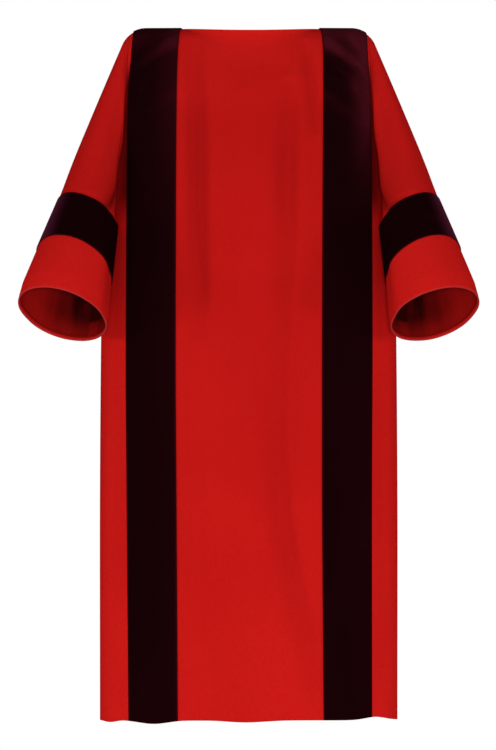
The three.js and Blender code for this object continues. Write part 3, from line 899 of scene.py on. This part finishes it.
def dark_velvet(width):
    """Pile of a clavus, with painted sheen across the shoulders, along its top, towards the
    wearer's left and at its two edges.
    """
    shader, pile, streaks = velvet(f"velvet_pile_{round(width / MM)}", -39, True)
    colours = bpy.context.scene.dalmatic_colours
    across, down = shader.cloth_place()
    patches = shader.noise(7, 3, (1, 1, 3))
    # Painted sheen: lighter along the top, in streaks over the shoulders, down the side towards the
    # wearer's left, and stronger on the clavus on the wearer's left, with faint patches.
    top = down.share(-0.095, 0.004)
    shoulder = down.share(-0.27, -0.06)
    left = (across / width).share(0.45, 1.0)
    place = shader.node("SeparateXYZ", inputs=(shader.node("TexCoord", output="Object"),))
    lit = top * 0.6 + streaks.share(0.42, 0.72) * shoulder * (0.5 + left * 0.7)
    lit = lit + left * down.share(-0.40, -0.10) * 0.55
    lit = lit * (0.4 + place.share(-0.05, 0.05) * 1.1)
    lit = lit + patches.share(0.4, 0.75) * 0.05 + left * 0.03
    colour = shader.blend(lit.least(1), colours.velvet, colours.velvet_lit)
    colour = shader.blend(pile.share(0.45, 0.8) * 0.35, colour, colours.velvet_deep)
    # Painted sheen along both edges of the clavus.
    edge = across.least(width - across)
    colour = shader.blend((1 - edge.share(0.0008, 0.0042)) * 0.8, colour, colours.velvet_edge_sheen)
    shader.set("Base Color", colour)
    return shader.material


def band_velvet(length, girth):
    """The same pile round a sleeve, where the two edges are its top and its foot, with painted
    sheen on it.
    """
    shader, pile, streaks = velvet("velvet_pile_band", 35, False)
    colours = bpy.context.scene.dalmatic_colours
    across, down = shader.cloth_place()
    # Painted sheen: faint streaks, and the outer side of the band.
    colour = shader.blend(streaks.share(0.52, 0.80) * 0.12, colours.velvet, colours.velvet_lit)
    outer = 1 - across.least(girth - across).share(0.0, 0.062)
    colour = shader.blend(outer * 0.9, colour, colours.velvet_plum_sheen)
    colour = shader.blend(pile.share(0.45, 0.8) * 0.35, colour, colours.velvet_deep)
    # Painted sheen along the top and the foot of the band.
    edge = (down * -1).least(down + length)
    colour = shader.blend((1 - edge.share(0.0006, 0.0034)) * 0.7, colour, colours.velvet_edge_sheen)
    shader.set("Base Color", colour)
    return shader.material


def thread():
    """Twisted sewing thread with a faint sheen."""
    shader = Shader("sewing_thread", 0.62)
    shader.set("Sheen Weight", 0.05)
    shader.set("Sheen Tint", (1.0, 0.4, 0.3, 1))
    shader.set("Sheen Roughness", 0.4)
    colours = bpy.context.scene.dalmatic_colours
    twist = shader.noise(1500, 1, (1, 1, 0.4))
    dyed = shader.blend(twist.share(0.3, 0.7), colours.red_deep, colours.red_bright)
    shader.set("Base Color", dyed)
    shader.bump(twist, 0.0001, 0.6)
    return shader.material


def pale_floor():
    """Smooth matt floor, nearly white."""
    shader = Shader("pale_floor", 0.9)
    colour = shader.blend(shader.noise(3, 2) * 0.3, (0.93, 0.93, 0.93), (0.90, 0.90, 0.90))
    shader.set("Base Color", colour)
    return shader.material


def studio_world(front, back):
    """Even light all round, with a white backdrop behind the garment."""
    world = bpy.data.worlds.new("studio")
    world.use_nodes = True
    nodes, links = world.node_tree.nodes, world.node_tree.links
    place = nodes.new("ShaderNodeTexCoord")
    parts = nodes.new("ShaderNodeSeparateXYZ")
    bright = nodes.new("ShaderNodeMapRange")
    bright.interpolation_type = "SMOOTHSTEP"
    limits = {"From Min": 0.80, "From Max": 0.93, "To Min": front, "To Max": back}
    for name, value in limits.items():
        bright.inputs[name].default_value = value
    links.new(place.outputs["Generated"], parts.inputs[0])
    links.new(parts.outputs["Y"], bright.inputs["Value"])
    nodes["Background"].inputs["Color"].default_value = (1, 1, 1, 1)
    links.new(bright.outputs[0], nodes["Background"].inputs["Strength"])
    return world


def material(name, make, *sizes):
    """A material by its name, made the first time that it is asked for."""
    return bpy.data.materials.get(name) or make(*sizes)


def declare(node):
    """Hides the CAD part that a piece stands for."""
    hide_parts(node)


def stitch_nodes():
    """Nodes that lay short stitches along a run of edges, with gaps between them."""
    tree = bpy.data.node_groups.new("stitch_run", "GeometryNodeTree")
    sides = {"INPUT": [("Run", "Geometry"), ("Pitch", "Float"), ("Length", "Float")]}
    sides["INPUT"] += [("Thickness", "Float"), ("Thread", "Material")]
    sides["OUTPUT"] = [("Stitches", "Geometry")]
    for direction, sockets in sides.items():
        for name, kind in sockets:
            tree.interface.new_socket(name, in_out=direction, socket_type="NodeSocket" + kind)

    def node(kind, **settings):
        made = tree.nodes.new(kind)
        for name, value in settings.items():
            setattr(made, name, value)
        return made

    def link(source, output, target, place):
        tree.links.new(source.outputs[output], target.inputs[place])

    given = node("NodeGroupInput")
    curve = node("GeometryNodeMeshToCurve")
    even = node("GeometryNodeResampleCurve", mode="LENGTH")
    tangent = node("GeometryNodeInputTangent")
    facing = node("FunctionNodeAlignRotationToVector", axis="Z")
    stitch = node("GeometryNodeMeshUVSphere")
    stitch.inputs["Segments"].default_value = 6
    stitch.inputs["Rings"].default_value = 4
    stitch.inputs["Radius"].default_value = 0.5
    size = node("ShaderNodeCombineXYZ")
    place = node("GeometryNodeInstanceOnPoints")
    real = node("GeometryNodeRealizeInstances")
    finish = node("GeometryNodeSetMaterial")
    result = node("NodeGroupOutput")
    link(given, "Run", curve, 0)
    link(curve, 0, even, "Curve")
    link(given, "Pitch", even, "Length")
    link(tangent, 0, facing, "Vector")
    link(given, "Thickness", size, 0)
    link(given, "Thickness", size, 1)
    link(given, "Length", size, 2)
    link(even, 0, place, "Points")
    link(stitch, 0, place, "Instance")
    link(facing, 0, place, "Rotation")
    link(size, 0, place, "Scale")
    link(place, 0, real, 0)
    link(real, 0, finish, "Geometry")
    link(given, "Thread", finish, "Material")
    link(finish, 0, result, 0)
    return tree


def stitched(name, runs, settings):
    """Stitches along runs of points, each a row of points and whether it closes."""
    points, edges = [], []
    for run, closed in runs:
        first = len(points)
        points += (run * MM).tolist()
        edges += [(first + k, first + k + 1) for k in range(len(run) - 1)]
        if closed:
            edges.append((first + len(run) - 1, first))
    mesh = bpy.data.meshes.new(name + "_run")
    mesh.from_pydata(points, edges, [])
    run = bpy.data.objects.new(name + "_run", mesh)
    bpy.context.scene.collection.objects.link(run)
    tree = bpy.data.node_groups.get("stitch_run") or stitch_nodes()
    modifier = run.modifiers.new("stitches", "NODES")
    modifier.node_group = tree
    values = {
        "Pitch": settings.stitch_pitch,
        "Length": settings.stitch_length,
        "Thickness": settings.stitch_thickness,
        "Thread": material("sewing_thread", thread),
    }
    for socket in tree.interface.items_tree:
        if socket.item_type == "SOCKET" and socket.in_out == "INPUT" and socket.name in values:
            modifier[socket.identifier] = values[socket.name]
    graph = bpy.context.evaluated_depsgraph_get()
    made = bpy.data.meshes.new_from_object(run.evaluated_get(graph))
    run.modifiers.clear()
    bpy.data.objects.remove(run)
    if not made.polygons:
        raise RuntimeError(f"{name} has no stitches")
    made.name = name
    made.shade_smooth()
    piece = finished(name, made, material("sewing_thread", thread))


def row_at(outside, distance):
    """Points along a grid, a distance up from its last row."""
    points = []
    for column in outside[::-1].swapaxes(0, 1):
        travelled = summed(strides(column))
        points.append([np.interp(distance, travelled, column[:, axis]) for axis in range(3)])
    return np.array(points)


def whole_number(name, description, default, least):
    """A setting that is a whole number."""
    return bpy.props.IntProperty(name=name, description=description, default=default, min=least)


def metres(name, description, default, **limits):
    """A setting that is a length in metres."""
    wanted = {"precision": 5, "unit": "LENGTH", **limits}
    return bpy.props.FloatProperty(name=name, description=description, default=default, **wanted)


def position(name, description, default):
    """A setting that is a place in metres."""
    wanted = {"subtype": "TRANSLATION", "unit": "LENGTH"}
    return bpy.props.FloatVectorProperty(
        name=name, description=description, default=default, **wanted
    )


def dye(name, description, default):
    """A setting that is a colour."""
    wanted = {"subtype": "COLOR", "min": 0, "max": 1}
    return bpy.props.FloatVectorProperty(
        name=name, description=description, default=default, **wanted
    )


def brightness(name, description, default, **unit):
    """A setting that is an amount of light."""
    wanted = {"default": default, "min": 0, **unit}
    return bpy.props.FloatProperty(name=name, description=description, **wanted)


class ClothSettings(bpy.types.PropertyGroup):
    """How thick the cloth is, and how finely it is divided."""

    cloth_wall: metres("Red cloth", "Thickness of the red cloth", 0.0015, min=0.0005)
    turned_wall: metres("Turned hems", "Thickness of the red cloth at its hems", 0.0026, min=0.0005)
    velvet_wall: metres("Velvet", "Thickness of the velvet with its pile", 0.0017, min=0.0005)
    armhole_rows: whole_number("Armhole rows", "Rows from the shoulder to the underarm", 60, 12)
    body_rows: whole_number("Body rows", "Rows from the underarm to the turned hem", 140, 12)
    hem_rows: whole_number("Hem rows", "Rows across the turned hem", 11, 2)
    side_columns: whole_number("Side columns", "Columns from a clavus round to the seam", 18, 4)
    clavus_columns: whole_number("Clavus columns", "Columns across each clavus", 15, 3)
    middle_columns: whole_number("Middle columns", "Columns between the two clavi", 72, 8)
    sleeve_rows: whole_number("Sleeve rows", "Rows from the armhole to the sleeve band", 60, 8)
    band_rows: whole_number("Band rows", "Rows along the sleeve band", 20, 3)
    flare_rows: whole_number("Flare rows", "Rows from the band to the turned cuff", 12, 2)
    cuff_rows: whole_number("Cuff rows", "Rows along the turned cuff", 6, 2)


class StitchSettings(bpy.types.PropertyGroup):
    """How the garment is woven and sewn."""

    stitch_pitch: metres("Stitch pitch", "From one stitch to the next", 0.0034, min=0.001)
    stitch_length: metres("Stitch length", "Length of one stitch", 0.0025, min=0.0005)
    stitch_thickness: metres("Stitch thickness", "Thickness of the thread", 0.00055, min=0.0001)
    thread_pitch: metres("Weave pitch", "Width of two threads of the weave", 0.0007, min=0.0002)


class ColourSettings(bpy.types.PropertyGroup):
    """Colours of the red cloth and of the velvet, and of the light and shade painted on them."""

    red: dye("Red", "The red cloth", (0.420, 0.0070, 0.0058))
    # Deep red is for deeper threads, and for the painted shade higher up the cloth.
    red_deep: dye("Deep red", "Deeper threads and higher places", (0.300, 0.0047, 0.0041))
    # Bright red is for brighter dye at random, and for the painted light towards the sides.
    red_bright: dye("Bright red", "Brighter places of the cloth", (0.480, 0.0090, 0.0073))
    red_shade: dye("Shaded red", "Folds and the inside of a sleeve", (0.016, 0.0008, 0.0008))
    red_pale: dye("Pale red", "The rim of a cuff", (0.21, 0.030, 0.030))
    velvet: dye("Velvet", "The velvet's pile", (0.0058, 0.0006, 0.0011))
    velvet_deep: dye("Deep velvet", "Between the tufts of the pile", (0.0036, 0.0004, 0.0006))
    # Lit velvet, the velvet edge and plum velvet are painted sheen.
    velvet_lit: dye("Lit velvet", "Pile that is brushed to the light", (0.0500, 0.0040, 0.0078))
    velvet_edge_sheen: dye("Velvet edge", "Pile that parts at an edge", (0.0230, 0.0014, 0.0024))
    velvet_plum_sheen: dye("Plum velvet", "The outer side of a sleeve band", (0.0900, 0.0130, 0.0330))


class StudioSettings(bpy.types.PropertyGroup):
    """The camera, the floor and the lights."""

    camera: position("Camera", "Where the camera stands", (-0.0012, -5.5, -1.109))
    target: position("Target", "What the camera and lights are turned to", (-0.0012, 0, -0.607))
    lens: bpy.props.FloatProperty(
        name="Lens", description="Focal length of the camera", default=153.09, unit="CAMERA"
    )
    floor: metres("Floor level", "Height of the floor", -1.5)
    floor_half: metres("Half the floor", "Half the width of the floor", 3.4, min=1)
    backdrop: brightness("Backdrop", "Light of the white backdrop", 1.0)
    room: brightness("Room", "Light from all round", 0.34)
    key: brightness("Front light", "Power of the front light", 268, unit="POWER")
    fill: brightness("Side lights", "Power of the side lights", 75, unit="POWER")


class DALMATIC_OT_panels(bpy.types.Operator):
    """Makes the two red panels, which are open at the neck, the armholes and the hem."""

    bl_idname = "dalmatic.panels"
    bl_label = "Front and back panels"

    def execute(self, context):
        settings = context.scene.dalmatic_cloth
        red = material("woven_red", red_cloth)
        for face in FACES:
            outside, _, inside = panel_grids(settings, face)
            shade = panel_shade(outside, body_levels(settings), face)
            piece = shell(face + "_cloth", outside, inside, red, shade=shade)
            declare(face + "_panel")
        return {"FINISHED"}


class DALMATIC_OT_sleeves(bpy.types.Operator):
    """Makes the two open sleeves, each with its velvet band."""

    bl_idname = "dalmatic.sleeves"
    bl_label = "Sleeves"

    def execute(self, context):
        settings = context.scene.dalmatic_cloth
        red = material("woven_red", red_cloth)
        front, back = (panel_grids(settings, face) for face in FACES)
        for name in SIDES:
            grids = sleeve_grids(settings, front, back, name)
            outside, normals, inside, shade, band_foot = grids
            piece = shell("sleeve_cloth_" + name, outside, inside, red, ring=True, shade=shade)
            declare("sleeve_" + name)
            band = slice(settings.sleeve_rows, band_foot + 1)
            length = strides(outside[band]).mean(axis=1).sum()
            ring = outside[(band.start + band.stop) // 2]
            girth = strides(np.concatenate([ring, ring[:1]])).sum()
            pile = material("velvet_pile_band", band_velvet, length * MM, girth * MM)
            over, under = velvet_layer(outside[band], normals[band], settings)
            piece = shell("velvet_band_" + name, over, under, pile, ring=True)
            declare("sleeve_band_" + name)
        return {"FINISHED"}


class DALMATIC_OT_clavi(bpy.types.Operator):
    """Lays the velvet clavi down the front and the back."""

    bl_idname = "dalmatic.clavi"
    bl_label = "Clavi"

    def execute(self, context):
        settings = context.scene.dalmatic_cloth
        width = settings.clavus_columns
        first = {"right": settings.side_columns}
        first["left"] = first["right"] + width + settings.middle_columns
        for face in FACES:
            outside, normals, _ = panel_grids(settings, face)
            for name, column in first.items():
                cut = slice(column, column + width + 1)
                over, under = velvet_layer(outside[:, cut], normals[:, cut], settings)
                wide = round(strides(over, 1).mean(axis=0).sum())
                pile = material(f"velvet_pile_{wide}", dark_velvet, wide * MM)
                piece = shell(f"velvet_clavus_{face}_{name}", over, under, pile)
                declare(f"clavus_{face}_{name}")
        return {"FINISHED"}


class DALMATIC_OT_stitching(bpy.types.Operator):
    """Sews the hem, the cuffs and the neck."""

    bl_idname = "dalmatic.stitching"
    bl_label = "Stitching"

    def execute(self, context):
        cloth, stitches = context.scene.dalmatic_cloth, context.scene.dalmatic_stitches
        grids = {face: panel_grids(cloth, face) for face in FACES}
        first = cloth.side_columns + cloth.clavus_columns
        middle = slice(first, first + cloth.middle_columns + 1)
        sides = (slice(0, cloth.side_columns + 1), slice(-cloth.side_columns - 1, None))
        for face, (outside, normals, _) in grids.items():
            proud = outside + normals * STITCH_PROUD
            hem = row_at(proud, HEM_SEAM)
            runs = [(hem[cut], False) for cut in (*sides, middle)]
            stitched(f"hem_stitches_{face}", runs, stitches)
            neck = row_at(proud[::-1], NECK_TURN - SEAM_INSET)[middle][2:-2]
            stitched(f"neck_stitches_{face}", [(neck, False)], stitches)
        for name in SIDES:
            outside, normals = sleeve_grids(cloth, *grids.values(), name)[:2]
            cuff = row_at(outside + normals * STITCH_PROUD, CUFF_TURN - SEAM_INSET)
            stitched(f"cuff_stitches_{name}", [(cuff, True)], stitches)
        return {"FINISHED"}


class DALMATIC_OT_stage(bpy.types.Operator):
    """Sets a pale floor, soft lights and the camera."""

    bl_idname = "dalmatic.stage"
    bl_label = "Floor, lights and camera"

    def execute(self, context):
        settings = context.scene.dalmatic_studio
        scene = context.scene
        level, half = settings.floor, settings.floor_half
        mesh = bpy.data.meshes.new("floor")
        corners = [(-half, -half), (half, -half), (half, half), (-half, half)]
        mesh.from_pydata([(x, y, level) for x, y in corners], [], [(0, 1, 2, 3)])
        mesh.materials.append(material("pale_floor", pale_floor))
        floor = bpy.data.objects.new("floor", mesh)
        scene.collection.objects.link(floor)

        scene.world = studio_world(settings.room, settings.backdrop)
        scene.view_settings.view_transform = "Standard"

        target = Vector(settings.target)
        lamps = {
            "front_light": ((0.1, -6.2, -1.25), 0.8, settings.key),
            "right_light": ((-4.2, -2.4, -1.0), 1.0, settings.fill),
            "left_light": ((4.2, -2.4, -1.0), 1.0, settings.fill * 0.8),
            "back_light": ((0.8, 5.4, 1.9), 1.4, settings.key * 0.8),
        }
        for name, (place, width, power) in lamps.items():
            lamp = bpy.data.lights.new(name, "AREA")
            lamp.energy = power
            lamp.size = width
            lamp.shape = "DISK"
            holder = bpy.data.objects.new(name, lamp)
            holder.location = place
            holder.rotation_euler = (target - Vector(place)).to_track_quat("-Z", "Y").to_euler()
            scene.collection.objects.link(holder)

        camera = bpy.data.cameras.new("camera")
        camera.sensor_fit = "VERTICAL"
        camera.sensor_height = 36
        camera.lens = settings.lens
        camera.clip_end = 200
        holder = bpy.data.objects.new("camera", camera)
        holder.location = settings.camera
        holder.rotation_euler = (target - holder.location).to_track_quat("-Z", "Y").to_euler()
        scene.collection.objects.link(holder)
        scene.camera = holder
        return {"FINISHED"}


class DALMATIC_PT_build(bpy.types.Panel):
    """Lists the settings and the operators."""

    bl_idname = "DALMATIC_PT_build"
    bl_label = "Dalmatic"
    bl_space_type = "VIEW_3D"
    bl_region_type = "UI"
    bl_category = "Dalmatic"

    def draw(self, context):
        for group in (name for name, _ in SETTINGS):
            values = getattr(context.scene, group)
            box = self.layout.box()
            for name in values.__annotations__:
                box.prop(values, name)
        for operator in OPERATORS:
            self.layout.operator(operator.bl_idname)


SETTINGS = (
    ("dalmatic_cloth", ClothSettings),
    ("dalmatic_stitches", StitchSettings),
    ("dalmatic_colours", ColourSettings),
    ("dalmatic_studio", StudioSettings),
)
OPERATORS = (
    DALMATIC_OT_panels,
    DALMATIC_OT_sleeves,
    DALMATIC_OT_clavi,
    DALMATIC_OT_stitching,
    DALMATIC_OT_stage,
)
CLASSES = (*(kind for _, kind in SETTINGS), *OPERATORS, DALMATIC_PT_build)


def register():
    for kind in CLASSES:
        bpy.utils.register_class(kind)
    for name, kind in SETTINGS:
        setattr(bpy.types.Scene, name, bpy.props.PointerProperty(type=kind))


def unregister():
    for name, _ in SETTINGS:
        delattr(bpy.types.Scene, name)
    for kind in reversed(CLASSES):
        bpy.utils.unregister_class(kind)


def main():
    """Builds every piece and the stage."""
    register()
    for operator in OPERATORS:
        group, name = operator.bl_idname.split(".")
        getattr(getattr(bpy.ops, group), name)()


if __name__ == "__main__":
    main()
